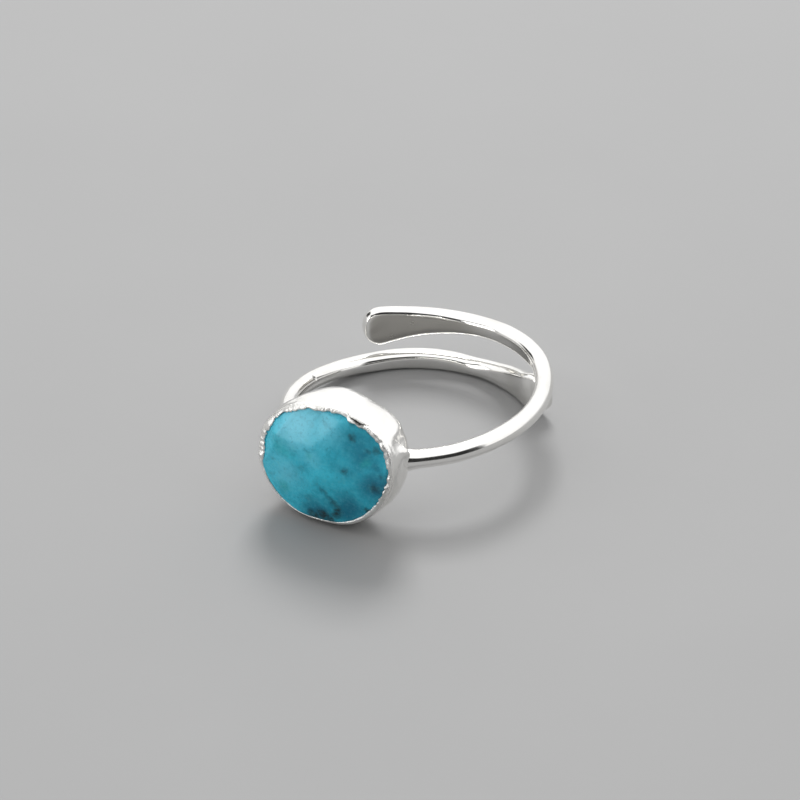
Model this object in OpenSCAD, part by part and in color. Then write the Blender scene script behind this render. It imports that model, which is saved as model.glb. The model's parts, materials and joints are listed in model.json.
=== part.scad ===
// Wrap ring lying on its side: an open coil of round wire whose two arms pass each other and end in
// hammered paddles, with a faceted stone in a soft, lumpy cup soldered across the middle of the wire.
// The finger's axis is +Z, the stone faces -Y, and the ring lies on z = 0. Sizes are in millimetres.

/* [Ring] */
// Radius of the wire's centre line at the setting
ring_r = 9.8; // [8.4:0.1:11.2]
// Diameter of the round wire
wire_d = 1.45; // [1.2:0.05:1.6]
// How far the upper arm runs round from the setting, in degrees
upper_sweep = 232.5; // [205:0.5:240]
// How far the lower arm runs round from the setting, in degrees
lower_sweep = 228; // [205:1:232]
// How far the upper arm has opened outwards at its tip
upper_spread = 0.45; // [0:0.05:0.6]
// How far the lower arm draws in towards the finger behind it
lower_draw = 0.15; // [0:0.05:0.4]
// How far the lower arm's tip is bent outwards
lower_flick = 1; // [0:0.05:1.5]
// Length of the lower arm's bent end
lower_end = 2.5; // [2:0.5:5]
// Mean height of the upper arm's centre line above the floor
upper_z = 4.3; // [4.0:0.1:5.0]
// How far the upper arm rises above its mean height, and falls below it, because its loop is tilted
upper_tilt = 0.95; // [0.5:0.05:1.2]
// How far from the setting the upper arm is highest, in degrees
upper_high_at = 94; // [80:1:110]
// How far from the setting the lower arm comes down to the floor, in degrees
lower_floor_at = 138; // [110:1:150]

/* [Paddles] */
// Length of wire that is hammered flat on the upper arm
upper_paddle = 9.5; // [7:0.5:13]
// Length of wire that is hammered flat on the lower arm
lower_paddle = 9; // [7:0.5:12]
// Length of each paddle's end that has its full width
paddle_end = 1; // [0.5:0.1:3]
// Width of a paddle at its end
paddle_w = 3.4; // [2:0.1:3.6]
// Thickness of a paddle
paddle_t = 1.15; // [0.7:0.05:1.2]
// How far round from the setting the arms begin to be hammered square, in degrees
square_from = 110; // [90:5:150]
// How much further round they are fully square, in degrees
square_over = 45; // [30:5:60]
// How far round from the setting the lower arm begins to be round again, in degrees
round_again = 160; // [150:5:180]

/* [Setting] */
// Distance from the finger's axis to the rim of the cup
rim_rho = 13.3; // [12.9:0.1:13.6]
// Depth of the cup behind its rim
cup_depth = 3.8; // [3.4:0.1:4]
// Depth of the pocket that holds the stone
pocket_depth = 2.2; // [1.6:0.1:2.3]
// Thickness of the rim
rim_wall = 0.28; // [0.2:0.02:0.4]
// How far the face of the setting leans back from upright, in degrees
face_tilt = 5; // [0:1:10]
// How far the setting sits to one side of the wire's middle
cup_offset = -0.4; // [-0.8:0.1:0.4]
// How far the solder thickens the wire beside the cup
solder = 0.45; // [0.2:0.05:0.6]

/* [Stone] */
// Size of the stone's outline along the finger's band, as a share of the outline in the table
stone_scale = 1; // [0.95:0.01:1.03]
// How far the stone's table stands above the rim
crown_h = 1; // [0.6:0.05:1.1]
// Clearance between the stone and its pocket
stone_gap = 0.06; // [0.04:0.01:0.1]

/* [Hidden] */

// The stone's outline seen from the front: direction from its centre in degrees, and distance.
// Direction 0 points to the right and 90 points up. It is widest at the lower left and upper right.
DIRECTION = 0;
DISTANCE = 1;
stone_outline = [
    [0, 5.35], [30, 5.65], [60, 5.15], [90, 4.7], [120, 4.85], [150, 5.1],
    [180, 5.3], [210, 5.5], [240, 5.3], [270, 4.85], [300, 4.85], [330, 4.95],
];

// The stone's facets round its table: direction, slope from the table in degrees, and how far from
// the centre the facet's plane cuts the level of the table.
SLOPE = 1;
REACH = 2;
facets = [
    [0, 9, 0.1], [40, 13, 0.7], [92, 16, 1.7], [150, 14, 4.0], [188, 13, 3.5], [232, 13, 1.5],
    [270, 13, 1.4], [318, 12, 0.6],
    [0, 32, 3.8], [42, 33, 4.1], [84, 33, 3.2], [130, 34, 3.7], [174, 32, 3.9], [214, 34, 4.5],
    [253, 33, 4.0], [290, 32, 3.7], [326, 34, 3.5],
];
facet_below_middle = 6;

// The cup's outside from its rim to its back: share of the cup's depth, and how far the wall stands
// outside the stone's outline.
OUTSET = 1;
cup_profile = [
    [0.01, 0.34], [0.06, 0.38], [0.15, 0.46], [0.28, 0.52], [0.42, 0.54], [0.56, 0.48],
    [0.7, 0.3], [0.82, -0.05], [0.91, -0.6], [0.97, -1.5], [1, -3],
];

// The lumps in the cup's plating, as waves: how many go round the cup, the direction of the first,
// how far the wave turns along the cup's depth and where it starts there in degrees, and its height.
ROUND = 0;
PLACE = 1;
ALONG = 2;
START = 3;
HEIGHT = 4;
lumps = [
    [1, 70, 0, 0, 0.13], [2, 40, 90, 40, 0.08], [3, 150, 180, 150, 0.08],
    [5, 20, 200, 20, 0.05], [8, 250, 320, 250, 0.03],
];

cup_sides = 44;
wire_sides = 16;
station_step = 4.5;
tip_steps = 6;
solder_from = 22;
solder_over = 10;
draw_from = 60;
draw_over = 90;
round_power = 2;
round_over = 25;
upper_power = 4;
lower_power = 3;
back_power = 3.2;
tip_power = 2.3;
flare_power = 1.5;
big = 30;

// Eases from 0 to 1 as t goes from 0 to 1, and holds still outside that.
function ease(t) = let (c = min(1, max(0, t))) c * c * (3 - 2 * c);

// Distance of the stone's outline in any direction: a smooth curve through the table's points.
function outline_row(i) = stone_outline[(i + len(stone_outline)) % len(stone_outline)][DISTANCE];
function outline_at(a) =
    let (
        step = 360 / len(stone_outline),
        turn = ((a % 360) + 360) % 360,
        i = floor(turn / step),
        t = turn / step - i,
        p0 = outline_row(i - 1),
        p1 = outline_row(i),
        p2 = outline_row(i + 1),
        p3 = outline_row(i + 2)
    )
    stone_scale * (p1 + 0.5 * t * (p2 - p0 + t * (2 * p0 - 5 * p1 + 4 * p2 - p3
        + t * (3 * (p1 - p2) + p3 - p0))));

// Height of the plating's lumps at a direction a and a share d of the cup's depth.
function lump_at(a, d) =
    ease(d / 0.3)
        * [for (row = lumps) row[HEIGHT]]
        * [for (row = lumps) cos(row[ROUND] * (a - row[PLACE])) * cos(row[ALONG] * d + row[START])];

// Rings of the cup in its own frame: x to the right, y up and z out of the face, from the pocket's
// floor up its wall to the rim and down the outside to the back.
function cup_ring(outset, z) = [
    for (k = [0 : cup_sides - 1])
        let (a = 360 * k / cup_sides, r = outline_at(a) + outset)
        [r * cos(a), r * sin(a), z]
];
function cup_outer_ring(row) = [
    for (k = [0 : cup_sides - 1])
        let (
            a = 360 * k / cup_sides,
            r = outline_at(a) + row[OUTSET] + lump_at(a, row[0])
        )
        [r * cos(a), r * sin(a), -row[0] * cup_depth]
];
cup_rings = concat(
    [
        cup_ring(stone_gap, -pocket_depth),
        cup_ring(stone_gap, 0.08),
        cup_ring(stone_gap + rim_wall * 0.7, 0.1),
    ],
    [for (row = cup_profile) cup_outer_ring(row)]
);

// A stack of rings of n points each becomes a closed skin of triangles, with a fan at either end
// round a point in the middle of the end ring.
function flat(rings) = [for (ring = rings) for (p = ring) p];
function middle(ring) = [for (k = [1 : len(ring)]) 1] * ring / len(ring);
function skin_points(rings) = concat([middle(rings[0])], flat(rings), [middle(rings[len(rings) - 1])]);
function skin_faces(rings, n) = concat(
    [for (k = [0 : n - 1]) [0, 1 + (k + 1) % n, 1 + k]],
    [
        for (i = [0 : rings - 2])
            for (k = [0 : n - 1])
                let (a = 1 + i * n + k, b = 1 + i * n + (k + 1) % n)
                for (face = [[a, b, b + n], [a, b + n, a + n]]) face
    ],
    [for (k = [0 : n - 1]) [1 + (rings - 1) * n + k, 1 + (rings - 1) * n + (k + 1) % n, 1 + rings * n]]
);

// Signed power, which squares off a round section as the power goes above 2.
function squared(x, power) = sign(x) * pow(abs(x), 2 / power);

// The wire's centre line at a sweep from the setting: positive along the upper arm, negative along
// the lower one.
start_z = upper_z + upper_tilt * cos(upper_high_at);
function arm_sweep(sweep) = sweep >= 0 ? upper_sweep : lower_sweep;
function from_tip(sweep) = (arm_sweep(sweep) - abs(sweep)) * PI / 180 * ring_r;
function arm_r(sweep) =
    sweep >= 0
        ? ring_r + upper_spread * pow(sweep / upper_sweep, 2)
        : ring_r - lower_draw * ease((-sweep - draw_from) / draw_over)
            + lower_flick * pow(max(0, 1 - from_tip(sweep) / lower_end), 2);
function paddle_len(sweep) = sweep >= 0 ? upper_paddle : lower_paddle;
function flatness(sweep) =
    let (t = (paddle_len(sweep) - from_tip(sweep)) / (paddle_len(sweep) - paddle_end))
    pow(min(1, max(0, t)), flare_power);
function squareness(sweep) =
    ease((abs(sweep) - square_from) / square_over)
        * (sweep >= 0 ? 1 : 1 - ease((-sweep - round_again) / round_over));
function end_power(sweep) = sweep >= 0 ? upper_power : lower_power;
function wire_w(sweep) = wire_d + (paddle_w - wire_d) * flatness(sweep) + solder_at(sweep);
function wire_t(sweep) = wire_d + (paddle_t - wire_d) * flatness(sweep) + 0.4 * solder_at(sweep);
function solder_at(sweep) = solder * (1 - ease((abs(sweep) - solder_from) / solder_over));
function arm_z(sweep) =
    sweep >= 0
        ? upper_z + upper_tilt * cos(sweep - upper_high_at)
        : wire_w(sweep) / 2 + (start_z - wire_w(0) / 2) * (1 - ease(-sweep / lower_floor_at));
function on_wire(sweep) = [arm_r(sweep) * cos(sweep - 90), arm_r(sweep) * sin(sweep - 90), arm_z(sweep)];

// One section of the wire. Its width stands across the wire's run and its thickness is radial.
// The last stretch rounds off to the tip of the paddle.
function tip_share(s) =
    let (r = paddle_w / 2)
    s >= r ? 1 : pow(1 - pow((r - s) / r, tip_power), 1 / tip_power);
function wire_section(sweep) =
    let (
        out = [cos(sweep - 90), sin(sweep - 90), 0],
        ahead = on_wire(sweep + 0.5 * (sweep >= 0 ? -1 : 1)) - on_wire(sweep),
        run = ahead * (sweep >= 0 ? -1 : 1) / norm(ahead),
        across = cross(out, run) / norm(cross(out, run)),
        s = from_tip(sweep),
        w = wire_w(sweep) * tip_share(s),
        t = wire_t(sweep) * pow(tip_share(s), 0.5),
        power = max(
            round_power + (end_power(sweep) - round_power) * flatness(sweep),
            round_power + (back_power - round_power) * squareness(sweep)
        )
    )
    [
        for (k = [0 : wire_sides - 1])
            let (a = 360 * k / wire_sides)
            on_wire(sweep)
                + out * t / 2 * squared(cos(a), power)
                + across * w / 2 * squared(sin(a), power)
    ];

// Places along the wire where it has a section, close together round each tip.
function tip_stations(limit) = [
    for (k = [0 : tip_steps - 1])
        limit - paddle_w / 2 * (1 - cos(9 + 81 * k / (tip_steps - 1))) * 180 / PI / ring_r
];
upper_tip = tip_stations(upper_sweep);
lower_tip = tip_stations(lower_sweep);
function last(list) = list[len(list) - 1];
stations = concat(
    [for (s = lower_tip) -s],
    [for (s = [-last(lower_tip) + station_step : station_step : last(upper_tip) - station_step]) s],
    [for (k = [tip_steps - 1 : -1 : 0]) upper_tip[k]]
);
wire_rings = [for (sweep = stations) wire_section(sweep)];

// Where the setting goes: its lowest point touches the floor, as the lower arm does.
cup_low = min([for (p = flat(cup_rings)) p[1] * cos(face_tilt) + p[2] * sin(face_tilt)]);
face_centre = [cup_offset, -rim_rho, -cup_low];

// How far the whole ring is moved so that the origin is under the middle of it.
wire_x = [for (p = flat(wire_rings)) p[0]];
wire_y = [for (p = flat(wire_rings)) p[1]];
front_y = -rim_rho - crown_h * cos(face_tilt) - facets[facet_below_middle][REACH] * sin(face_tilt);
to_middle = [-(min(wire_x) + max(wire_x)) / 2, -(front_y + max(wire_y)) / 2, 0];

module on_face() {
    translate(face_centre) rotate([90 - face_tilt, 0, 0]) children();
}

module wire() {
    polyhedron(skin_points(wire_rings), skin_faces(len(wire_rings), wire_sides), convexity = 10);
}

module cup() {
    on_face() polyhedron(skin_points(cup_rings), skin_faces(len(cup_rings), cup_sides), convexity = 10);
}

module shank_and_setting() {
    color("silver") translate(to_middle) union() {
        wire();
        cup();
    }
}

// The stone: its outline stands up from the pocket's floor and each facet is one plane cut across it.
module stone() {
    color("darkturquoise") translate(to_middle) on_face() difference() {
        translate([0, 0, stone_gap - pocket_depth])
            linear_extrude(pocket_depth - stone_gap + crown_h)
                polygon([
                    for (k = [0 : cup_sides - 1])
                        let (a = 360 * k / cup_sides)
                        outline_at(a) * [cos(a), sin(a)]
                ]);
        for (facet = facets)
            rotate([0, 0, facet[DIRECTION]])
                translate([facet[REACH], 0, crown_h])
                    rotate([0, facet[SLOPE], 0])
                        translate([-big / 2, -big / 2, 0])
                            cube([big, big, big / 2]);
    }
}

shank_and_setting();
stone();
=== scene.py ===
# A wrap ring of round silver wire lying on its side, with a faceted turquoise in a lumpy plated cup.
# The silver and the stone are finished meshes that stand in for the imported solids, on a studio floor.
import json
import math

import bpy
import numpy as np
from mathutils import Matrix, Vector


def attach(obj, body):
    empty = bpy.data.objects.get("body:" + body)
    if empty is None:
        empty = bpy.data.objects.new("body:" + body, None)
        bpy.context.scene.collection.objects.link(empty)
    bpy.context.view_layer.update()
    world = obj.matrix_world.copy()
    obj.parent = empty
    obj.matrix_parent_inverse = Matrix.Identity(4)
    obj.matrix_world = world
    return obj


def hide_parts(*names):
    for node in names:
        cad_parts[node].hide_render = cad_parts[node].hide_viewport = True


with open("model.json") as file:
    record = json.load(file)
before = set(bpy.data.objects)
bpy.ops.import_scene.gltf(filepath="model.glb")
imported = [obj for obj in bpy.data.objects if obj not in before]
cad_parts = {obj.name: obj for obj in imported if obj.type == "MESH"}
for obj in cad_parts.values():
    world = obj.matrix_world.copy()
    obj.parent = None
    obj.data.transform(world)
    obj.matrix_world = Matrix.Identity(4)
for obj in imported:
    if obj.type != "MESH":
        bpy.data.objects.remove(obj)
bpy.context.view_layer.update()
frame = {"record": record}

MM = 0.001
IMAGE_SIDE = 800

# Sizes of the real ring, in millimetres and degrees. The finger's axis stands on RING_CENTRE. A sweep
# is an angle round that axis from the setting: positive on the upper arm and negative on the lower.
hole = next(m for m in frame["record"]["mounts"] if m["name"] == "finger_hole")
RING_CENTRE = np.array([hole["pos_m"][0], hole["pos_m"][1], 0.0]) / MM
# The radius of the wire's centre line at the setting, the wire's diameter, and how far round each
# arm runs.
RING_R = 9.8
WIRE_D = 1.45
UPPER_SWEEP = 232.5
LOWER_SWEEP = 228
# How far the upper arm has opened at its tip.
UPPER_SPREAD = 0.45
# How far the lower arm draws in, the sweep where that begins, and over how many degrees.
LOWER_DRAW = 0.15
DRAW_FROM = 60
DRAW_OVER = 90
# How far the lower arm's tip is bent outwards, and the length of its bent end.
LOWER_FLICK = 1.0
LOWER_END = 2.5
# Mean height of the upper arm, how far it rises above and falls below that, and where it is highest.
UPPER_Z = 4.3
UPPER_TILT = 0.95
UPPER_HIGH_AT = 94
# Where the lower arm comes down to the floor.
LOWER_FLOOR_AT = 138
# Length of wire that is hammered flat on each arm, length of a paddle's end at its full width, and
# that end's width and thickness.
UPPER_PADDLE = 9.5
LOWER_PADDLE = 9
PADDLE_END = 1
PADDLE_W = 3.4
PADDLE_T = 1.15
# Where the arms begin to be hammered square, and where the lower one begins to be round again.
SQUARE_FROM = 110
SQUARE_OVER = 45
ROUND_AGAIN = 160
ROUND_OVER = 25
# The setting: its rim's distance from the axis, its depths, how far its face leans back, and how far
# it sits to one side.
RIM_RHO = 13.3
CUP_DEPTH = 3.8
POCKET_DEPTH = 2.2
FACE_TILT = 5
CUP_OFFSET = -0.4
# How far the stone's table stands above the rim, and the stone's clearance in the pocket.
CROWN_H = 1.0
STONE_GAP = 0.06
# How far the solder widens the wire beside the cup, its share of that in the wire's thickness, and
# the sweep where it begins to run out.
SOLDER = 0.45
SOLDER_T_SHARE = 0.4
SOLDER_FROM = 22
SOLDER_OVER = 10

# The stone's outline from the front: distance from its centre every 30 degrees, from the right.
OUTLINE = [5.35, 5.65, 5.15, 4.7, 4.85, 5.1, 5.3, 5.5, 5.3, 4.85, 4.85, 4.95]

# The stone's facets: direction, slope from the table, and how far out they cut the table's level.
FACETS = [
    (0, 9, 0.1), (40, 13, 0.7), (92, 16, 1.7), (150, 14, 4.0), (188, 13, 3.5), (232, 13, 1.5),
    (270, 13, 1.4), (318, 12, 0.6),
    (0, 32, 3.8), (42, 33, 4.1), (84, 33, 3.2), (130, 34, 3.7), (174, 32, 3.9), (214, 34, 4.5),
    (253, 33, 4.0), (290, 32, 3.7), (326, 34, 3.5),
]

# The cup's wall from its rim to its back: share of the depth, and how far outside the outline.
CUP_PROFILE = [
    (0.06, 0.38), (0.15, 0.46), (0.28, 0.52), (0.42, 0.54), (0.56, 0.48),
    (0.7, 0.3), (0.82, -0.05), (0.91, -0.6), (0.97, -1.5), (1.0, -3.0),
]

# The lumps of the plating: waves round the cup, direction of the first, turn along the depth,
# start there, and height. They grow to that height over LUMPS_OVER of the depth.
LUMPS = [
    (1, 70, 0, 0, 0.13), (2, 40, 90, 40, 0.08), (3, 150, 180, 150, 0.08),
    (5, 20, 200, 20, 0.05), (8, 250, 320, 250, 0.03),
]
LUMPS_OVER = 0.3


def ease(t):
    """Eases from 0 to 1 as t goes from 0 to 1, and holds still outside that."""
    c = np.clip(t, 0, 1)
    return c * c * (3 - 2 * c)


def cosd(a):
    return np.cos(np.radians(a))


def sind(a):
    return np.sin(np.radians(a))


def bump(a, centre, half_width):
    """A smooth hump round one direction: 1 at its centre and 0 at half_width away."""
    away = np.abs((np.asarray(a) - centre + 180) % 360 - 180)
    return ease(1 - away / half_width)


def changed(a, plain, changes):
    """A measure that changes round the cup: a plain value, and rows of direction, half width there
    and what is added."""
    total = plain
    for at, half_width, added in changes:
        total = total + added * bump(a, at, half_width)
    return total


def jagged(a, count, seed):
    """Random teeth round a circle, between -1 and 1, with count teeth."""
    values = np.random.RandomState(seed).uniform(-1, 1, count)
    turn = (np.asarray(a) % 360) / 360 * count
    i = np.floor(turn).astype(int)
    t = turn - i
    return values[i % count] * (1 - t) + values[(i + 1) % count] * t


def outline_at(a):
    """Distance of the stone's outline in direction a, on a smooth curve through OUTLINE."""
    rows = np.array(OUTLINE)
    n = len(rows)
    turn = (np.asarray(a, float) % 360) / (360 / n)
    i = np.floor(turn).astype(int)
    t = turn - i
    p0, p1, p2, p3 = (rows[(i + k) % n] for k in (-1, 0, 1, 2))
    bend = 2 * p0 - 5 * p1 + 4 * p2 - p3 + t * (3 * (p1 - p2) + p3 - p0)
    return p1 + 0.5 * t * (p2 - p0 + t * bend)


def lump_at(a, d):
    """Height of the plating's lumps in direction a at a share d of the cup's depth."""
    waves = sum(h * cosd(n * (a - at)) * cosd(along * d + start) for n, at, along, start, h in LUMPS)
    return ease(d / LUMPS_OVER) * waves


def smooth_path(rows, count):
    """count points on a smooth curve through the rows, spaced evenly by the rows' own spacing."""
    p = np.array(rows, float)
    p = np.vstack([2 * p[0] - p[1], p, 2 * p[-1] - p[-2]])
    t = np.linspace(0, len(rows) - 1, count)
    i = np.minimum(t.astype(int), len(rows) - 2)
    f = (t - i)[:, None]
    a, b, c, d = p[i], p[i + 1], p[i + 2], p[i + 3]
    return b + 0.5 * f * (c - a + f * (2 * a - 5 * b + 4 * c - d + f * (3 * (b - c) + d - a)))


def skin(rings):
    """Vertices and faces of a tube through rings of points, with a fan over each end round a point in
    the middle of the end ring."""
    rings = np.asarray(rings)
    m, n, _ = rings.shape
    here = np.arange(n)
    after = (here + 1) % n
    faces = []
    for i in range(m - 1):
        a = i * n + here
        b = i * n + after
        faces += np.stack([a, b, b + n, a + n], 1).tolist()
    last = (m - 1) * n
    first_middle = np.full(n, m * n)
    faces += np.stack([first_middle, after, here], 1).tolist()
    faces += np.stack([first_middle + 1, last + here, last + after], 1).tolist()
    return np.vstack([rings.reshape(-1, 3), rings[0].mean(0), rings[-1].mean(0)]), faces


def piece(name, verts, faces, material, node):
    """A finished mesh, given in millimetres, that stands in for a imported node."""
    mesh = bpy.data.meshes.new(name)
    mesh.from_pydata((np.asarray(verts) * MM).tolist(), [], faces)
    mesh.shade_smooth()
    mesh.materials.append(material)
    obj = bpy.data.objects.new(name, mesh)
    bpy.context.scene.collection.objects.link(obj)
    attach(obj, "root")
    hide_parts(node)


# The camera's place: azimuth from the front towards the right, elevation, distance in millimetres
# from RING_CENTRE, and the scale and the pixel of the photograph there.
CAMERA_AZIMUTH = 29
CAMERA_ELEVATION = 35
CAMERA_DISTANCE = 400
PIXELS_PER_MM = 12.9
CENTRE_PIXEL = (415.5, 435.5)
SENSOR_MM = 36
# The nearest that the camera sees, in metres.
CLIP_START = 0.02


def toward(azimuth, elevation):
    """The direction that looks out from the ring at an azimuth and an elevation."""
    return Vector((
        sind(azimuth) * cosd(elevation),
        -cosd(azimuth) * cosd(elevation),
        sind(elevation),
    ))


def make_camera():
    """The camera at the photograph's angle, turned so that the ring's centre is where it was."""
    focal_px = PIXELS_PER_MM * CAMERA_DISTANCE
    back = toward(CAMERA_AZIMUTH, CAMERA_ELEVATION)
    right = Vector((cosd(CAMERA_AZIMUTH), sind(CAMERA_AZIMUTH), 0))
    up = back.cross(right)
    middle = IMAGE_SIDE / 2
    aim = -back + right * ((middle - CENTRE_PIXEL[0]) / focal_px)
    aim += up * ((CENTRE_PIXEL[1] - middle) / focal_px)
    data = bpy.data.cameras.new("camera")
    data.sensor_width = SENSOR_MM
    data.lens = SENSOR_MM * focal_px / IMAGE_SIDE
    data.clip_start = CLIP_START
    camera = bpy.data.objects.new("camera", data)
    bpy.context.scene.collection.objects.link(camera)
    camera.location = Vector(RING_CENTRE * MM) + back * (CAMERA_DISTANCE * MM)
    camera.rotation_mode = "QUATERNION"
    camera.rotation_quaternion = aim.to_track_quat("-Z", "Y")
    bpy.context.scene.camera = camera


class Nodes:
    """A short way to build a material's nodes. Its places are in millimetres."""

    def __init__(self, name):
        self.material = bpy.data.materials.new(name)
        self.material.use_nodes = True
        self.tree = self.material.node_tree
        self.shader = self.tree.nodes["Principled BSDF"]
        place = self.add("ShaderNodeTexCoord")
        self.place = self.math3("SCALE", place.outputs["Object"], scale=1 / MM)
        self.normal = place.outputs["Normal"]

    @classmethod
    def on_tree(cls, tree):
        """The same helpers for a tree that isn't a material's."""
        nodes = cls.__new__(cls)
        nodes.tree = tree
        return nodes

    def add(self, kind, **settings):
        node = self.tree.nodes.new(kind)
        for key, value in settings.items():
            setattr(node, key, value)
        return node

    def put(self, socket, value):
        """Gives an input a value or another node's output. None leaves it as it is."""
        if isinstance(value, bpy.types.NodeSocket):
            self.tree.links.new(value, socket)
        elif value is not None:
            socket.default_value = value

    def math3(self, operation, a, b=None, scale=None, third=None):
        """An operation on vectors."""
        node = self.add("ShaderNodeVectorMath", operation=operation)
        self.put(node.inputs[0], a)
        self.put(node.inputs[1], b)
        self.put(node.inputs[2], third)
        if scale is not None:
            self.put(node.inputs["Scale"], scale)
        return node.outputs["Value" if operation in ("DISTANCE", "LENGTH", "DOT_PRODUCT") else "Vector"]

    def math(self, operation, a, b=None, c=None):
        """An operation on numbers."""
        node = self.add("ShaderNodeMath", operation=operation)
        for socket, value in zip(node.inputs, (a, b, c)):
            self.put(socket, value)
        return node.outputs[0]

    def noise(self, scale, detail, rough, where=None, output="Fac"):
        """Noise with scale waves in a millimetre."""
        node = self.add("ShaderNodeTexNoise")
        self.put(node.inputs["Vector"], self.place if where is None else where)
        self.put(node.inputs["Scale"], scale)
        self.put(node.inputs["Detail"], detail)
        self.put(node.inputs["Roughness"], rough)
        return node.outputs[output]

    def spread(self, value, low, high, to_low=0, to_high=1):
        """Eases from to_low to to_high as the value goes from low to high."""
        node = self.add("ShaderNodeMapRange", interpolation_type="SMOOTHSTEP")
        self.put(node.inputs["Value"], value)
        self.put(node.inputs["From Min"], low)
        self.put(node.inputs["From Max"], high)
        self.put(node.inputs["To Min"], to_low)
        self.put(node.inputs["To Max"], to_high)
        return node.outputs["Result"]

    def mix(self, share, a, b):
        """Colour a with a share of colour b."""
        node = self.add("ShaderNodeMix", data_type="RGBA")
        self.put(node.inputs["Factor"], share)
        self.put(node.inputs["A"], a)
        self.put(node.inputs["B"], b)
        return node.outputs["Result"]

    def bump(self, height, distance, strength, over=None):
        """A normal for a height that stands out by up to distance millimetres."""
        node = self.add("ShaderNodeBump")
        self.put(node.inputs["Height"], height)
        self.put(node.inputs["Distance"], distance * MM)
        self.put(node.inputs["Strength"], strength)
        self.put(node.inputs["Normal"], over)
        return node.outputs["Normal"]


# The silver's tones: two that drift into each other, then the painted shade on the duller face and in the
# nick and the crease.
SILVER_LIGHT = (0.95, 0.94, 0.92, 1)
SILVER_SHADE = (0.88, 0.87, 0.84, 1)
SILVER_PAINTED_SHADE = (0.5, 0.485, 0.45, 1)
PAINTED_SHADE_TONE = (0.03, 0.03, 0.025, 1)
# Roughness where it is clean and where it is smudged, and what a full plating adds to smudges.
CLEAN_ROUGH = 0.07
SMUDGED_ROUGH = 0.16
PLATED_ROUGH = 0.06
# Roughness that the duller face and the crimped rim add.
DULL_ROUGH = 0.12
CRIMPED_ROUGH = 0.2
# Noise scales of the tone, the smudges, the scratches, the plating's lumps and the crimping.
TONE_SCALE = 0.35
SMUDGE_SCALE = 0.9
SCRATCH_SCALE = 2.0
LUMP_SCALE = 1.7
CRIMP_SCALE = 6.5
# Heights of the scratches, of the bare metal's waves, of a full plating's lumps and of the crimping.
SCRATCH_HEIGHT = 0.001
METAL_HEIGHT = 0.004
PLATING_HEIGHT = 0.066
CRIMP_HEIGHT = 0.06
# How the scratches' noise is turned, in radians, and how much finer it is along one axis.
SCRATCH_TURN = (0.4, 0.9, 0.3)
SCRATCH_SQUEEZE = (1, 5, 1)
# Cosines between which a face begins and ends to count as turned to the finger, and the height over
# which its dullness and its painted shade set in.
INWARDS = (-0.93, -0.99)
DULL_AND_SHADE_FADE = 1
# Where the crimping begins and where it is full, along its direction.
CRIMP_EDGE = (-0.1, 0.02)


def dull_and_shaded_share(n, above, start, end):
    """1 on faces towards the finger, above a height and from one x to another, and 0 elsewhere. There the
    silver is duller and painted darker as shade.
    """
    flat = n.math3("MULTIPLY", n.math3("SUBTRACT", n.place, tuple(RING_CENTRE)), (1, 1, 0))
    facing = n.math3("DOT_PRODUCT", n.math3("NORMALIZE", flat), n.normal)
    parts = n.add("ShaderNodeSeparateXYZ")
    n.put(parts.inputs["Vector"], n.place)
    high = n.spread(parts.outputs["Z"], above, above + DULL_AND_SHADE_FADE)
    inner = n.math("MULTIPLY", n.spread(facing, *INWARDS), high)
    return n.math("MULTIPLY", inner, n.spread(parts.outputs["X"], start, end))


def silver(name, peel, dull_and_shade=None, painted_shade=(), crimp=None):
    """Polished silver with faint scratches. peel is how lumpy its plating is, from 0 to 1. The third
    argument is where its faces towards the finger are less polished and painted darker as shade: above a
    height, and from one x to another. The fourth has rows of the place, radius and strength of a spot of
    painted shade. crimp is a point and a direction: what lies beyond the point in that direction is
    roughened, as the rim is by the tool that pressed it."""
    n = Nodes(name)
    tone = n.mix(n.spread(n.noise(TONE_SCALE, 3, 0.6), 0.35, 0.7), SILVER_LIGHT, SILVER_SHADE)
    smudged = SMUDGED_ROUGH + PLATED_ROUGH * peel
    rough = n.spread(n.noise(SMUDGE_SCALE, 3, 0.6), 0.3, 0.75, CLEAN_ROUGH, smudged)
    if dull_and_shade is not None:
        # Faces towards the finger are duller, and darkened as painted shade that stands in for a darker
        # reflection.
        inner = dull_and_shaded_share(n, *dull_and_shade)
        tone = n.mix(inner, tone, SILVER_PAINTED_SHADE)
        rough = n.math("MULTIPLY_ADD", inner, DULL_ROUGH, rough)
    # Dark spots of painted shade: in the nick and in the crease beside the rim.
    for spot, radius, strength in painted_shade:
        near = n.spread(n.math3("DISTANCE", n.place, tuple(spot)), radius, 0.3 * radius, 0, strength)
        tone = n.mix(near, tone, PAINTED_SHADE_TONE)
    squeezed = n.add("ShaderNodeMapping")
    n.put(squeezed.inputs["Vector"], n.place)
    n.put(squeezed.inputs["Rotation"], SCRATCH_TURN)
    n.put(squeezed.inputs["Scale"], SCRATCH_SQUEEZE)
    fine = n.bump(n.noise(SCRATCH_SCALE, 2, 0.6, squeezed.outputs["Vector"]), SCRATCH_HEIGHT, 0.6)
    normal = n.bump(n.noise(LUMP_SCALE, 2, 0.4), METAL_HEIGHT + PLATING_HEIGHT * peel, 0.5, over=fine)
    if crimp is not None:
        point, direction = crimp
        beyond = n.math3("DOT_PRODUCT", n.math3("SUBTRACT", n.place, tuple(point)), tuple(direction))
        pressed = n.spread(beyond, *CRIMP_EDGE)
        rough = n.math("MULTIPLY_ADD", pressed, CRIMPED_ROUGH, rough)
        normal = n.bump(n.noise(CRIMP_SCALE, 2, 0.6), CRIMP_HEIGHT, pressed, over=normal)
    n.put(n.shader.inputs["Base Color"], tone)
    n.put(n.shader.inputs["Metallic"], 1.0)
    n.put(n.shader.inputs["Roughness"], rough)
    n.put(n.shader.inputs["Normal"], normal)
    return n.material


# The wire's mesh: sides of a section, degrees between sections, degrees between them at the nick,
# how many sections follow the curve of each tip, and how far round that curve the first of them is.
WIRE_SIDES = 80
STATION_STEP = 0.7
NICK_STEP = 0.15
TIP_STEPS = 18
TIP_FIRST = 4
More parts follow.
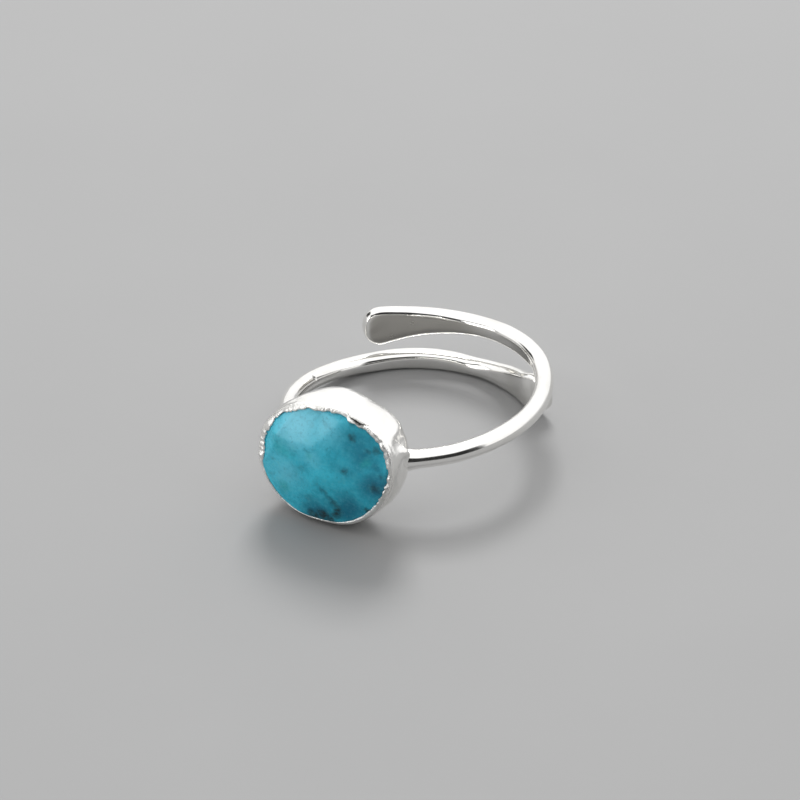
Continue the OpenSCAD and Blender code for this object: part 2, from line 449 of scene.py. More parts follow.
# Powers that make a section round, or squarer as they go above 2: at the upper and the lower
# paddle's end, and behind the finger. Then those of a tip's outline and of a paddle's flare.
ROUND_POWER = 2.0
UPPER_POWER = 4.0
LOWER_POWER = 3.0
BACK_POWER = 3.2
TIP_POWER = 2.3
FLARE_POWER = 1.5
# Degrees over which the wire's run is measured.
RUN_STEP = 0.3

# A small nick in the lower arm's upper inner edge: where on the sweep, its half width there, how far
# round the section from outwards it lies, its half width there in degrees, and its depth.
NICK = (-92.3, 0.8, 134, 24, 0.13)
# Radius and strength of the painted shade in the nick.
NICK_SHADE = (0.3, 0.6)
# How much more the solder fills out the wire, its share of that in the wire's width, and the sweeps
# over which it runs out.
FLARE = 0.12
FLARE_W_SHARE = 0.6
FLARE_SWEEPS = (21, 33)
# How far a paddle's inner face is dished, and the height of the hammer marks and of the wire's waves.
DISH = 0.06
HAMMER = 0.016
WAVES = 0.018
# Degrees from one mark or wave to the next, and their seed: the marks in the paddles' thickness and
# on their inner faces, then the waves in the wire's thickness, width and centre line.
THICKNESS_MARKS = (4, 11)
FACE_MARKS = (8, 15)
THICKNESS_WAVES = (9, 12)
WIDTH_WAVES = (7, 13)
CENTRE_WAVES = (11, 14)
# How far the marks on the inner faces slant, in degrees of sweep from the middle to an edge.
MARKS_SLANT = 15
# Sweep at which the random waves start, and the length that they cover.
WAVES_START = -360
WAVES_LENGTH = 800
# Where the upper paddle's inner face is duller and painted darker as shade: above this height, and from
# this x to this one.
DULL_AND_SHADE = (1.6, 2.5, -1.5)


def arm_sweep(s):
    """The whole sweep of the arm that s is on."""
    return np.where(s >= 0, UPPER_SWEEP, LOWER_SWEEP)


def from_tip(s):
    """Length of wire from a sweep to the tip of its arm."""
    return (arm_sweep(s) - np.abs(s)) * math.pi / 180 * RING_R


def arm_r(s):
    """Distance of the wire's centre line from the finger's axis."""
    upper = RING_R + UPPER_SPREAD * (s / UPPER_SWEEP) ** 2
    lower = RING_R - LOWER_DRAW * ease((-s - DRAW_FROM) / DRAW_OVER)
    lower = lower + LOWER_FLICK * np.maximum(0, 1 - from_tip(s) / LOWER_END) ** 2
    return np.where(s >= 0, upper, lower)


def flatness(s):
    """How far the wire is hammered to a paddle: 0 where it is round, 1 at the paddle's end."""
    length = np.where(s >= 0, UPPER_PADDLE, LOWER_PADDLE)
    return np.clip((length - from_tip(s)) / (length - PADDLE_END), 0, 1) ** FLARE_POWER


def solder_at(s):
    """How far the solder widens the wire."""
    return SOLDER * (1 - ease((np.abs(s) - SOLDER_FROM) / SOLDER_OVER))


def wire_w(s):
    """Width of the wire, as seen from the finger."""
    return WIRE_D + (PADDLE_W - WIRE_D) * flatness(s) + solder_at(s)


def wire_t(s):
    """Thickness of the wire, outwards from the finger."""
    return WIRE_D + (PADDLE_T - WIRE_D) * flatness(s) + SOLDER_T_SHARE * solder_at(s)


def arm_z(s):
    """Height of the wire's centre line: a tilted loop above, and a descent to the floor below."""
    start = UPPER_Z + UPPER_TILT * cosd(UPPER_HIGH_AT)
    first_half = (WIRE_D + SOLDER) / 2
    upper = UPPER_Z + UPPER_TILT * cosd(s - UPPER_HIGH_AT)
    lower = wire_w(s) / 2 + (start - first_half) * (1 - ease(-s / LOWER_FLOOR_AT))
    return np.where(s >= 0, upper, lower)


def outwards(s):
    """The direction from the finger's axis to a sweep."""
    return np.stack([cosd(s - 90), sind(s - 90), np.zeros_like(s)], -1)


def on_wire(s):
    """The wire's centre line, measured from RING_CENTRE."""
    return np.stack([arm_r(s) * cosd(s - 90), arm_r(s) * sind(s - 90), arm_z(s)], -1)


def ripple(s, spacing, seed):
    """Smooth random waves along the wire, from -1 to 1, with a new value every spacing degrees."""
    values = np.random.RandomState(seed).uniform(-1, 1, int(WAVES_LENGTH / spacing))
    turn = (np.asarray(s) - WAVES_START) / spacing
    i = np.floor(turn).astype(int)
    t = ease(turn - i)
    return values[i] * (1 - t) + values[i + 1] * t


def nick_place():
    """Where the nick is on the wire's surface."""
    sweep, _, turn, _, _ = NICK
    s = np.float64(sweep)
    away = outwards(s) * cosd(turn) + np.array([0, 0, sind(turn)])
    return RING_CENTRE + on_wire(s) + away * WIRE_D / 2


def wire_stations():
    """Sweeps at which the wire has a section, close together round each tip and at the nick."""
    turn = np.linspace(TIP_FIRST, 90, TIP_STEPS)
    near_tip = PADDLE_W / 2 * (1 - cosd(turn)) * 180 / math.pi / RING_R
    upper = UPPER_SWEEP - near_tip
    lower = LOWER_SWEEP - near_tip
    middle = np.arange(-lower[-1] + STATION_STEP, upper[-1] - STATION_STEP / 2, STATION_STEP)
    nick = NICK[0] + np.arange(-2 * NICK[1], 2 * NICK[1], NICK_STEP)
    return np.unique(np.concatenate([-lower, middle, nick, upper]).round(4))


def wire_across(s):
    """The direction across the wire's run, square to the outward one."""
    step = np.where(s >= 0, -RUN_STEP, RUN_STEP)
    run = (on_wire(s + step) - on_wire(s)) / step[:, None]
    run /= np.linalg.norm(run, axis=1)[:, None]
    across = np.cross(outwards(s), run)
    return across / np.linalg.norm(across, axis=1)[:, None]


def wire_sizes(s):
    """Width and thickness of each section, with hammer marks and waves, rounded off to the tips."""
    share = (1 - np.clip(1 - from_tip(s) / (PADDLE_W / 2), 0, 1) ** TIP_POWER) ** (1 / TIP_POWER)
    start, end = FLARE_SWEEPS
    flare = FLARE * (1 - ease((np.abs(s) - start) / (end - start)))
    w = (wire_w(s) + FLARE_W_SHARE * flare) * share
    t = (wire_t(s) + flare) * share ** 0.5
    t = t * (1 + HAMMER * flatness(s) * ripple(s, *THICKNESS_MARKS)) + WAVES * ripple(s, *THICKNESS_WAVES)
    return w + WAVES * ripple(s, *WIDTH_WAVES) * share, t


def wire_power(s):
    """How square each section is, as the power of its outline."""
    square = ease((np.abs(s) - SQUARE_FROM) / SQUARE_OVER) * (1 - ease((-s - ROUND_AGAIN) / ROUND_OVER))
    at_paddle = (np.where(s >= 0, UPPER_POWER, LOWER_POWER) - ROUND_POWER) * flatness(s)
    return ROUND_POWER + np.maximum(at_paddle, (BACK_POWER - ROUND_POWER) * square)


def make_wire(material):
    """The wire from tip to tip, with a section of width w and thickness t at each station. In a section
    x runs outwards from the finger and y across the wire."""
    s = wire_stations()
    out = outwards(s)
    across = wire_across(s)
    centre = on_wire(s) + out * (WAVES * ripple(s, *CENTRE_WAVES))[:, None]
    w, t = wire_sizes(s)
    s, flat, power, w, t = (v[:, None] for v in (s, flatness(s), wire_power(s), w, t))
    a = (np.arange(WIRE_SIDES) * 360 / WIRE_SIDES)[None, :]
    reach = (np.abs(cosd(a)) ** power + np.abs(sind(a)) ** power) ** (-1 / power)
    height = reach * sind(a)
    x = t / 2 * reach * cosd(a)
    y = w / 2 * height
    inner_face = np.clip(-reach * cosd(a), 0, 1)
    x = x + DISH * flat * (1 - height ** 2) * inner_face
    x = x - HAMMER * flat * inner_face * ripple(s + MARKS_SLANT * height, *FACE_MARKS)
    nick_at, nick_width, nick_round, nick_round_width, nick_depth = NICK
    nick = nick_depth * ease(1 - np.abs(s - nick_at) / nick_width) * bump(a, nick_round, nick_round_width)
    x = x - nick * cosd(nick_round)
    y = y - nick * sind(nick_round)
    rings = centre[:, None] + out[:, None] * x[..., None] + across[:, None] * y[..., None]
    verts, faces = skin(rings[::-1])
    piece("wire_shank", verts + RING_CENTRE, faces, material, "shank_and_setting")


# How softly the stone's facets meet.
SOFT_EDGE = 0.02
# The stone's mesh: sides, steps from the edge to the middle, and the share of the radius at which
# they start and end. Further out, at EDGE_SHARES, its edge is rounded off by up to EDGE_DROP, over
# EDGE_OVER of the radius.
STONE_SIDES = 360
STONE_STEPS = 110
STEPS_FROM = 0.98
STEPS_TO = 0.01
EDGE_SHARES = [1.0, 0.998, 0.99]
EDGE_OVER = 0.02
EDGE_DROP = 0.06


def face_matrix(height):
    """The turn and the origin of the setting's own frame: x to the right, y up and z out of the face,
    with the face's centre at this height."""
    turn = np.array(Matrix.Rotation(math.radians(90 - FACE_TILT), 3, "X"))
    origin = RING_CENTRE + np.array([CUP_OFFSET, -RIM_RHO, height])
    return turn, origin


def on_face(points, height):
    """Turns points in the setting's own frame into the ring's frame."""
    turn, origin = face_matrix(height)
    return np.asarray(points) @ turn.T + origin


def stone_height(x, y):
    """Height of the stone above the rim's plane: its table cut by the facets, softly rounded."""
    planes = [np.full_like(x, CROWN_H)]
    for direction, slope, reach in FACETS:
        out = x * cosd(direction) + y * sind(direction)
        planes.append(CROWN_H - np.tan(math.radians(slope)) * (out - reach))
    h = np.array(planes)
    low = h.min(0)
    return low - SOFT_EDGE * np.log(np.exp(-(h - low) / SOFT_EDGE).sum(0))


def make_stone(material, height):
    """The stone: its flat back, its straight side in the pocket, and its crown of facets."""
    a = np.arange(STONE_SIDES) * 360 / STONE_SIDES
    edge = outline_at(a)
    rings = [np.stack([edge * cosd(a), edge * sind(a), np.full_like(a, STONE_GAP - POCKET_DEPTH)], 1)]
    for share in np.concatenate([EDGE_SHARES, np.linspace(STEPS_FROM, STEPS_TO, STONE_STEPS)]):
        x = edge * share * cosd(a)
        y = edge * share * sind(a)
        z = stone_height(x, y) - EDGE_DROP * ease((share - STEPS_FROM) / EDGE_OVER)
        rings.append(np.stack([x, y, z], 1))
    verts, faces = skin(rings)
    piece("turquoise", on_face(verts, height), faces, material, "stone")


# The cup's mesh: sides, rows down its wall and rows over its domed back, which stands out by DOME.
CUP_SIDES = 640
CUP_WALL_ROWS = 72
DOME_ROWS = 9
DOME = 0.08

# Lumps that the photograph shows on the cup's wall: direction, half width there, share of the depth,
# half width along it, and height.
WALL_LUMPS = [
    (60, 12, 0.6, 0.5, -0.1), (48, 10, 0.6, 0.5, -0.04), (37, 8, 0.5, 0.5, 0.1),
    (27, 9, 0.42, 0.38, -0.2), (8, 12, 0.6, 0.5, -0.26), (87, 22, 0.62, 0.42, 0.26),
    (188, 16, 0.8, 0.3, 0.18), (128, 28, 0.62, 0.44, -0.55), (322, 16, 0.5, 0.4, -0.06),
]
# The wall's fine unevenness: height, count round the cup, seed, and turn along the whole depth.
WALL_TEETH = [(0.02, 23, 5, 0), (0.012, 61, 6, 60)]
# The bead of solder above the wire, a rounded ridge that runs down towards the back: direction and
# share of the depth of its middle, direction it gains along the whole depth, half length as a share,
# radius, and how deep it is sunk in the wall.
BEAD = (16, 0.52, -42, 0.32, 0.8, 0.5)
# The wall leaves the rim at this many times its width, and comes to CUP_PROFILE from this share of
# the depth, over this much more.
WALL_START = 1.22
PROFILE_FROM = 0.03
PROFILE_OVER = 0.14

# Where the rim is pressed over the stone: direction, half width, and how steeply that sets in.
PRESSED = (88, 135, 6)
# The rim's width outside the stone's outline, and where it changes.
RIM_W = 0.34
RIM_W_CHANGES = [(132, 36, -0.09), (244, 78, -0.24), (320, 50, -0.03), (175, 40, 0.06)]
# How far its lip reaches over the stone, and how much further where it is pressed.
LIP = 0.05
LIP_CHANGES = [(130, 70, 0.05), (180, 48, 0.17)]
# The lip's teeth: height, count and seed, and the share of them that is left where it isn't pressed.
LIP_TEETH = [(0.1, 150, 3), (0.06, 71, 8)]
LOOSE_SHARE = 0.15
# How high the rim's top is knocked about, where that changes, and the count and seed of the knocks.
KNOCK = 0.02
KNOCK_CHANGES = [(14, 50, 0.08), (180, 45, 0.03)]
KNOCKS = (130, 9)
# Grains of plating on the rim at the left: direction, half width, height, count, seed, and how far
# they stand up as a share of how far they stand out.
GRAINS = (181, 30, 0.11, 170, 17, 0.6)

# The fold of plating beside the rim that leaves a crease, with a painted shadow in it: direction, half
# width, how steeply it sets in, and depth. At the fold the lip is wider, the rim narrower and the wall
# further out by these.
CREASE = (61.5, 14, 1.4, 0.1)
CREASE_LIP = 0.2
CREASE_RIM = 0.24
CREASE_WALL = 0.24
# Painted shadow in the crease: direction, radius and strength. It lies at this share of the stone's
# height.
CREASE_SHADOW = [
    (51, 0.22, 1), (54, 0.28, 1), (57, 0.3, 1), (60, 0.28, 1), (62, 0.26, 1), (65, 0.24, 0.9),
    (69, 0.18, 0.8),
]
CREASE_SHADOW_HEIGHT = 0.6


def wall_at(a, d):
    """How far the wall's own lumps stand out in direction a at a share d of the depth."""
    total = lump_at(a, d)
    for at, width, depth, length, height in WALL_LUMPS:
        total = total + height * bump(a, at, width) * ease(1 - abs(d - depth) / length)
    at, depth, turn, length, radius, sunk = BEAD
    across = np.radians((a - at - turn * (d - depth) + 180) % 360 - 180) * outline_at(at)
    ridge = np.maximum(0, np.sqrt(np.maximum(0, radius ** 2 - across ** 2)) - sunk)
    total = total + ridge * ease(1 - abs(d - depth) / length)
    for height, count, seed, turn in WALL_TEETH:
        total = total + height * jagged(a + turn * d, count, seed) * ease(d / LUMPS_OVER)
    return total


def crease_shadow(height):
    """Rows of place, radius and strength for the painted shadow in the crease."""
    rows = []
    for at, radius, strength in CREASE_SHADOW:
        x, y = outline_at(at) * cosd(at), outline_at(at) * sind(at)
        rows.append((on_face([x, y, CREASE_SHADOW_HEIGHT * stone_height(x, y)], height), radius, strength))
    return rows


def rim_rows(lip, rim, teeth, knocked, crease, fold):
    """Rows from the pocket's floor over the rim to the top of the wall: how far outside the stone's
    outline, height above the rim's plane, and the shares of the grains and of the lift over the stone
    that reach the row. fold is the crease's depth."""
    return [
        (STONE_GAP, -POCKET_DEPTH, 0, 0),
        (STONE_GAP, -0.3, 0, 0),
        (0.03, -0.06, 0, 0.8),
        (-lip + teeth, 0.02, 0, 1),
        (-lip - 0.005 + teeth, 0.05, 0.3, 1),
        (-lip + 0.03 + teeth, 0.1 + knocked, 0.6, 1),
        (-lip * 0.5 + teeth * 0.6, 0.14 + knocked, 0.9, 0.95),
        (rim * 0.2 - 0.08 * crease + teeth * 0.3, 0.15 + knocked, 1, 0.75),
        (rim * 0.5 - 0.12 * crease, 0.14 + knocked, 1, 0.55),
        (rim * 0.8 - 0.04 * crease, 0.12 - 0.05 * crease + knocked, 1, 0.35),
        (rim * 0.95 - 0.03 * crease, 0.08 + 0.8 * knocked - fold, 0.9, 0.15),
        (rim * 1.03, 0.01 + 0.4 * knocked - fold, 0.7, 0),
        (rim * 1.07 + 0.02 * crease, -0.06 - fold, 0.4, 0),
        (rim * 1.1 + 0.04 * crease, -0.12 + 0.2 * crease, 0.2, 0.2),
        (rim * 1.14 + 0.07 * crease, -0.16 + 0.22 * crease, 0, 0.2),
        (rim * 1.18 + 0.13 * crease, -0.2 + 0.24 * crease, 0, 0.1),
    ]


def cup_rings():
    """Rings of the cup, from the middle of its back up the wall and over the rim to the pocket."""
    a = np.arange(CUP_SIDES) * 360 / CUP_SIDES
    edge = outline_at(a)
    at, width, steepness = PRESSED
    pressed = np.clip(steepness * bump(a, at, width), 0, 1)
    at, width, steepness, depth = CREASE
    crease = np.clip(bump(a, at, width) * steepness, 0, 1)
    teeth = sum(height * jagged(a, count, seed) for height, count, seed in LIP_TEETH)
    teeth = teeth * (LOOSE_SHARE + (1 - LOOSE_SHARE) * pressed)
    lip = LIP + changed(a, 0, LIP_CHANGES) * pressed + CREASE_LIP * crease
    rim = changed(a, RIM_W, RIM_W_CHANGES) - CREASE_RIM * crease
    knocked = changed(a, KNOCK, KNOCK_CHANGES) * jagged(a, *KNOCKS) * pressed
    at, width, height, count, seed, up = GRAINS
    grains = height * jagged(a, count, seed) * bump(a, at, width)
    inner = edge - lip + teeth
    over = pressed * np.maximum(0, stone_height(inner * cosd(a), inner * sind(a)))
    rings = []
    for outset, z, grain, lift in rim_rows(lip, rim, teeth, knocked, crease, depth * crease):
        r = edge + outset + grains * grain
        rings.append(np.stack([r * cosd(a), r * sind(a), z + over * lift + up * grains * grain], 1))
    for d, outset in smooth_path(CUP_PROFILE, CUP_WALL_ROWS):
        blend = ease((d - PROFILE_FROM) / PROFILE_OVER)
        start = rim * WALL_START + CREASE_WALL * crease
        r = edge + start * (1 - blend) + outset * blend + wall_at(a, d)
        rings.append(np.stack([r * cosd(a), r * sind(a), np.full_like(a, -d * CUP_DEPTH)], 1))
    last = rings[-1]
    for share in np.linspace(0.9, 0.1, DOME_ROWS):
        rings.append(last * (share, share, 1) - (0, 0, DOME * (1 - share ** 2)))
    return np.array(rings[::-1])


def cup_low(rings):
    """How far the cup reaches below its face's centre once the face leans back."""
    return -(rings[..., 1] * cosd(FACE_TILT) + rings[..., 2] * sind(FACE_TILT)).min()


def make_cup(material, rings, height):
    """The cup from its rings, with its face's centre at this height."""
    verts, faces = skin(rings)
    piece("setting_cup", on_face(verts, height), faces, material, "shank_and_setting")


# The stone's tones: the two of its body, its pale, deep and green patches, its mottling, the murk
# between its clouds, and its dark spots. The pale patches are partly its own colour and partly painted
# light on its upper and left facets; the deep ones partly its own colour and partly painted shade on
# its right-hand facets.
BODY_DEEP = (0.034, 0.47, 0.63, 1)
BODY_LIGHT = (0.05, 0.58, 0.76, 1)
PALE_AND_LIT = (0.25, 0.79, 0.98, 1)
DEEP_AND_SHADED = (0.008, 0.16, 0.26, 1)
GREEN = (0.025, 0.42, 0.44, 1)
MOTTLE_LIGHT = (0.1, 0.55, 0.64, 1)
MOTTLE_DARK = (0.012, 0.22, 0.30, 1)
MURK = (0.012, 0.26, 0.36, 1)
SPOT = (0.012, 0.035, 0.04, 1)
# Patches of these tones on its face, from its middle in mm: x, y, radius and strength.
# Pale patches: partly the stone's own colour, partly painted light where its upper and left facets catch
# the light.
PALE_AND_LIT_PATCHES = [
    (-2.3, 3.1, 3.0, 0.9), (0.3, 3.4, 2.4, 0.65), (-0.7, 0.9, 1.6, 0.35), (-3.3, -1.5, 2.3, 0.3),
]
# Deep patches: partly the stone's own colour, partly painted shade on its right-hand facets.
DEEP_AND_SHADED_PATCHES = [
    (3.2, 2.2, 2.9, 0.78), (4.7, -0.5, 2.5, 0.95), (2.2, 0.4, 1.6, 0.5), (2.6, -3.0, 2.8, 0.95),
    (-0.2, -4.2, 2.4, 0.95), (0.7, -2.9, 1.5, 0.6), (0.2, -1.9, 0.8, 0.45), (0.9, -2.5, 0.9, 0.6),
    (1.4, -3.2, 0.9, 0.6), (4.5, 1.2, 1.2, 0.75), (0.1, -3.6, 1.3, 0.6),
]
GREEN_PATCHES = [
    (-3.4, 0.9, 1.6, 0.4), (-3.2, -3.0, 1.0, 0.6), (3.6, 1.5, 0.8, 0.5), (-0.8, 0.9, 0.6, 0.4),
]
DARK_SPOTS = [
    (2.33, 3.09, 0.5, 0.75), (2.06, 0.3, 0.42, 0.7), (4.48, -0.56, 0.75, 0.7), (4.34, 2.59, 0.5, 0.6),
    (3.7, 2.35, 0.4, 0.45), (-1.47, -0.37, 0.5, 0.25), (-4.08, -0.54, 0.4, 0.3), (3.87, -2.95, 0.4, 0.9),
    (1.53, -3.35, 0.6, 1.0), (1.35, -3.9, 0.65, 0.95), (0.3, -4.25, 0.95, 1.0), (-0.6, -4.5, 0.8, 0.9),
    (0.11, 3.72, 0.4, 0.2), (3.6, 3.9, 0.4, 0.4), (4.9, 0.6, 0.35, 0.4), (0.9, -4.5, 0.8, 0.9),
    (-0.9, -2.9, 0.5, 0.3), (2.3, 4.3, 0.5, 0.35), (-1.0, 3.4, 0.35, 0.15),
]
# The dark vein below the middle: its ends, its half width, how many spots it is made of, and the
# strength of the first of them and how much they gain along the vein.
VEIN = ((0.0, -1.4), (1.5, -3.1), 0.26, 9)
VEIN_STRENGTH = 0.35
VEIN_GAIN = 0.5
# Noise scales of the clouds, the murk, the mottling and the dark spots' grain.
CLOUD_SCALE = 0.6
MURK_SCALE = 1.1
MOTTLE_SCALE = 2.6
GRAIN_SCALE = 3.5
# How the patches and the spots wander: noise scale, and how far in mm.
WIDE_BEND = (0.45, 2.2)
CLOSE_BEND = (1.8, 0.9)
# Roughness of the stone's polish, how strongly it reflects, and its coat's weight and roughness.
STONE_ROUGH = (0.2, 0.34)
STONE_SPECULAR = 0.25
STONE_COAT = 0.2
COAT_ROUGH = 0.2
# How far the clouds stand out, and the dark spots.
CLOUD_HEIGHT = 0.03
SPOT_HEIGHT = 0.02


def vein_spots():
    """The vein as a row of spots that grow wider and darker along it."""
    (x0, y0), (x1, y1), width, count = VEIN
    rows = []
    for i in range(count):
        x = x0 + (x1 - x0) * i / (count - 1)
        y = y0 + (y1 - y0) * i / (count - 1)
        rows.append((x, y, width * (1 + i / count), VEIN_STRENGTH + VEIN_GAIN * i / count))
    return rows


def turquoise(height):
    """The stone's colour: a clouded body with patches, mottling, dark spots and a vein. Its pale and deep
    patches are partly painted light and shade.
    """
    n = Nodes("turquoise")
    turn, origin = face_matrix(height)
    from_middle = n.math3("SUBTRACT", n.place, tuple(origin))
    face = n.add("ShaderNodeCombineXYZ")
    n.put(face.inputs["X"], n.math3("DOT_PRODUCT", from_middle, tuple(turn[:, 0])))
    n.put(face.inputs["Y"], n.math3("DOT_PRODUCT", from_middle, tuple(turn[:, 1])))

    def bent(scale, amount):
        """Places on the face, moved about by noise."""
        sway = n.math3("SUBTRACT", n.noise(scale, 3, 0.6, output="Color"), (0.5, 0.5, 0.5))
        return n.math3("MULTIPLY_ADD", sway, (amount, amount, 0), third=face.outputs["Vector"])

    def patches(rows, where, core):
        """The strongest of the rows' patches, each full within a share core of its radius."""
        most = None
        for x, y, radius, strength in rows:
            away = n.math3("DISTANCE", where, (x, y, 0))
            here = n.spread(away, radius, radius * core, 0, strength)
            most = here if most is None else n.math("MAXIMUM", most, here)
        return most

    wide = bent(*WIDE_BEND)
    close = bent(*CLOSE_BEND)
    cloud = n.noise(CLOUD_SCALE, 5, 0.6)
    mottle = n.noise(MOTTLE_SCALE, 6, 0.7)
    murk = n.noise(MURK_SCALE, 3, 0.6, where=wide)
    tone = n.mix(n.spread(cloud, 0.35, 0.65), BODY_DEEP, BODY_LIGHT)
    # Pale patches, partly painted light.
    tone = n.mix(patches(PALE_AND_LIT_PATCHES, wide, 0), tone, PALE_AND_LIT)
    # Deep patches, partly painted shade.
    tone = n.mix(patches(DEEP_AND_SHADED_PATCHES, wide, 0), tone, DEEP_AND_SHADED)
    tone = n.mix(patches(GREEN_PATCHES, wide, 0), tone, GREEN)
    tone = n.mix(n.spread(mottle, 0.52, 0.7, 0, 0.4), tone, MOTTLE_LIGHT)
    tone = n.mix(n.spread(mottle, 0.47, 0.28, 0, 0.55), tone, MOTTLE_DARK)
    tone = n.mix(n.spread(murk, 0.5, 0.3, 0, 0.35), tone, MURK)
    dark = n.math("MAXIMUM", patches(DARK_SPOTS, close, 0.1), patches(vein_spots(), close, 0))
    dark = n.math("MULTIPLY", dark, n.spread(n.noise(GRAIN_SCALE, 4, 0.6), 0.25, 0.6, 0.45, 1))
    tone = n.mix(dark, tone, SPOT)
    soft = n.bump(cloud, CLOUD_HEIGHT, 0.4)
    n.put(n.shader.inputs["Base Color"], tone)
    n.put(n.shader.inputs["Roughness"], n.spread(mottle, 0.3, 0.7, *STONE_ROUGH))
    n.put(n.shader.inputs["Specular IOR Level"], STONE_SPECULAR)
    n.put(n.shader.inputs["Coat Weight"], STONE_COAT)
    n.put(n.shader.inputs["Coat Roughness"], COAT_ROUGH)
    n.put(n.shader.inputs["Normal"], n.bump(dark, SPOT_HEIGHT, 0.5, over=soft))
    return n.material


# The floor: side in metres, tone, how far its faint grain goes either way from the tone, and finish.
FLOOR_SIDE = 4.0
FLOOR_TONE = (0.27, 0.27, 0.27)
FLOOR_GRAIN = 0.03
FLOOR_GRAIN_SCALE = 0.05
FLOOR_ROUGH = 0.7


def floor_material():
    """A plain pale floor with a very faint grain."""
    n = Nodes("floor")
    darker = [*(c * (1 - FLOOR_GRAIN) for c in FLOOR_TONE), 1]
    lighter = [*(c * (1 + FLOOR_GRAIN) for c in FLOOR_TONE), 1]
    n.put(n.shader.inputs["Base Color"], n.mix(n.noise(FLOOR_GRAIN_SCALE, 3, 0.5), darker, lighter))
    n.put(n.shader.inputs["Roughness"], FLOOR_ROUGH)
    return n.material


def make_floor():
    half = FLOOR_SIDE / 2
    corners = [(-half, -half, 0), (half, -half, 0), (half, half, 0), (-half, half, 0)]
    mesh = bpy.data.meshes.new("floor")
    mesh.from_pydata(corners, [], [(0, 1, 2, 3)])
    mesh.materials.append(floor_material())
    floor = bpy.data.objects.new("floor", mesh)
    bpy.context.scene.collection.objects.link(floor)


# Soft boxes: name, azimuth from the front towards the right, elevation, distance in metres, width,
# height, and power in watts.
LIGHTS = [
    ("key", 205, 48, 0.6, 0.22, 0.22, 2.6),
    ("window", -36, 14, 0.5, 0.3, 0.3, 0.7),
]
# The studio round the ring: a tent of light, brighter overhead than at the horizon. TOP_SINE is the
# sine of the elevation where it is brightest. All elevations and widths here are in degrees.
TOP_LEVEL = 1.2
TOP_SINE = 0.9
HORIZON_LEVEL = 1.05
# The tent's foot falls off to this share of its light below this elevation, and so meets the tone of
# the far floor.
FOOT_LEVEL = 0.55
FOOT_TOP = 6
# A dark screen low down at the front: its light, top, half width, middle as an azimuth right of the
# camera, and how soft its edges are.
SCREEN_LEVEL = 0.03
SCREEN_TOP = 42
SCREEN_HALF_WIDTH = 68
SCREEN_MIDDLE = -16
SCREEN_SOFT = 5
# A gap between two sheets of the tent: azimuth left of the camera, half width, bottom and top, and
# how soft its sides, bottom and top are.
GAP_AT = 126
GAP_HALF_WIDTH = 9
GAP_BOTTOM = 4
GAP_TOP = 25
GAP_SIDES_SOFT = 3
GAP_BOTTOM_SOFT = 1
GAP_TOP_SOFT = 2
# A duller stretch of the tent low down on the right: azimuth, half width, top, light, and how soft
# its sides and top are.
SIDE_AT = 140
SIDE_HALF_WIDTH = 17
SIDE_TOP = 10
SIDE_LEVEL = 0.65
SIDE_SIDES_SOFT = 8
SIDE_TOP_SOFT = 4


def make_lights():
    """The soft boxes, each turned to the ring."""
    for name, azimuth, elevation, distance, width, height, power in LIGHTS:
        data = bpy.data.lights.new(name, "AREA")
        data.shape = "RECTANGLE"
        data.size = width
        data.size_y = height
        data.energy = power
        light = bpy.data.objects.new(name, data)
        bpy.context.scene.collection.objects.link(light)
        light.location = toward(azimuth, elevation) * distance
        light.rotation_mode = "QUATERNION"
        light.rotation_quaternion = (-light.location).to_track_quat("-Z", "Y")


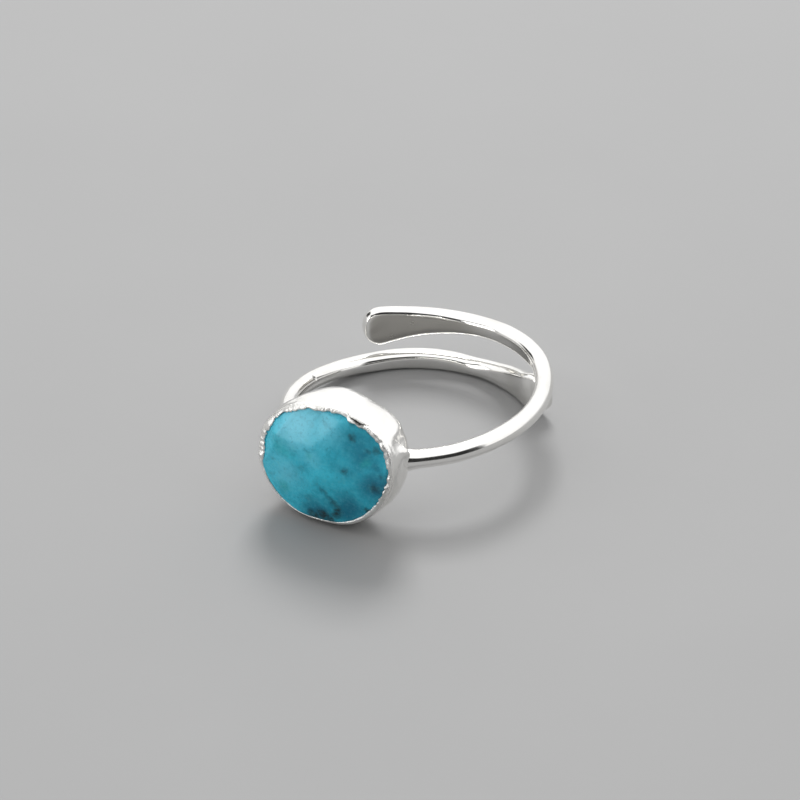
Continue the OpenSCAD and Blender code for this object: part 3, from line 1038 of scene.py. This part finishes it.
def make_studio():
    """The world: the tent of light with its foot, its duller side, its gap and the dark screen."""
    world = bpy.data.worlds.new("studio")
    world.use_nodes = True
    n = Nodes.on_tree(world.node_tree)
    way = n.add("ShaderNodeTexCoord").outputs["Generated"]
    level = n.math3("DOT_PRODUCT", way, (0, 0, 1))
    flat = n.math3("MULTIPLY", way, (1, 1, 0))
    along = n.math3("LENGTH", flat)

    def within(azimuth, half_width, soft):
        """1 for directions near an azimuth and 0 beyond half_width from it."""
        facing = n.math("DIVIDE", n.math3("DOT_PRODUCT", flat, tuple(toward(azimuth, 0))), along)
        return n.spread(facing, cosd(half_width + soft), cosd(half_width - soft))

    def under(elevation, soft):
        """1 for directions below an elevation."""
        return n.spread(level, sind(elevation + soft), sind(elevation - soft))

    def dimmed(light, share, to):
        """The light with a share of it brought to another level."""
        return n.math("MULTIPLY_ADD", share, n.math("SUBTRACT", to, light), light)

    light = n.spread(level, 0, TOP_SINE, HORIZON_LEVEL, TOP_LEVEL)
    light = n.math("MULTIPLY", light, n.spread(level, 0, sind(FOOT_TOP), FOOT_LEVEL, 1))
    side = within(SIDE_AT, SIDE_HALF_WIDTH, SIDE_SIDES_SOFT)
    side = n.math("MULTIPLY", side, under(SIDE_TOP, SIDE_TOP_SOFT))
    light = dimmed(light, side, SIDE_LEVEL)
    gap = within(CAMERA_AZIMUTH - GAP_AT, GAP_HALF_WIDTH, GAP_SIDES_SOFT)
    gap = n.math("MULTIPLY", gap, under(GAP_TOP, GAP_TOP_SOFT))
    gap = n.math("MULTIPLY", gap, n.math("SUBTRACT", 1.0, under(GAP_BOTTOM, GAP_BOTTOM_SOFT)))
    light = dimmed(light, gap, SCREEN_LEVEL)
    screen = within(CAMERA_AZIMUTH + SCREEN_MIDDLE, SCREEN_HALF_WIDTH, SCREEN_SOFT)
    screen = n.math("MULTIPLY", screen, under(SCREEN_TOP, SCREEN_SOFT))
    light = dimmed(light, screen, SCREEN_LEVEL)
    background = world.node_tree.nodes["Background"]
    n.put(background.inputs["Color"], (1, 1, 1, 1))
    n.put(background.inputs["Strength"], light)
    bpy.context.scene.world = world


make_camera()
make_lights()
make_studio()
make_floor()

# The cup's lowest point touches the floor, which sets the height of its face's centre.
cup = cup_rings()
face_height = cup_low(cup)
face_turn, face_middle = face_matrix(face_height)
rim_crimp = (face_middle, face_turn[:, 2])

# The wire, with painted shade on the upper paddle's inner face and in the nick.
make_wire(silver("silver_wire", 0.0, dull_and_shade=DULL_AND_SHADE, painted_shade=[(nick_place(), *NICK_SHADE)]))
# The cup, with a painted shadow in the crease beside the rim.
make_cup(silver("silver_cup", 1.0, painted_shade=crease_shadow(face_height), crimp=rim_crimp), cup, face_height)
make_stone(turquoise(face_height), face_height)
bpy.context.scene.view_settings.view_transform = "Standard"
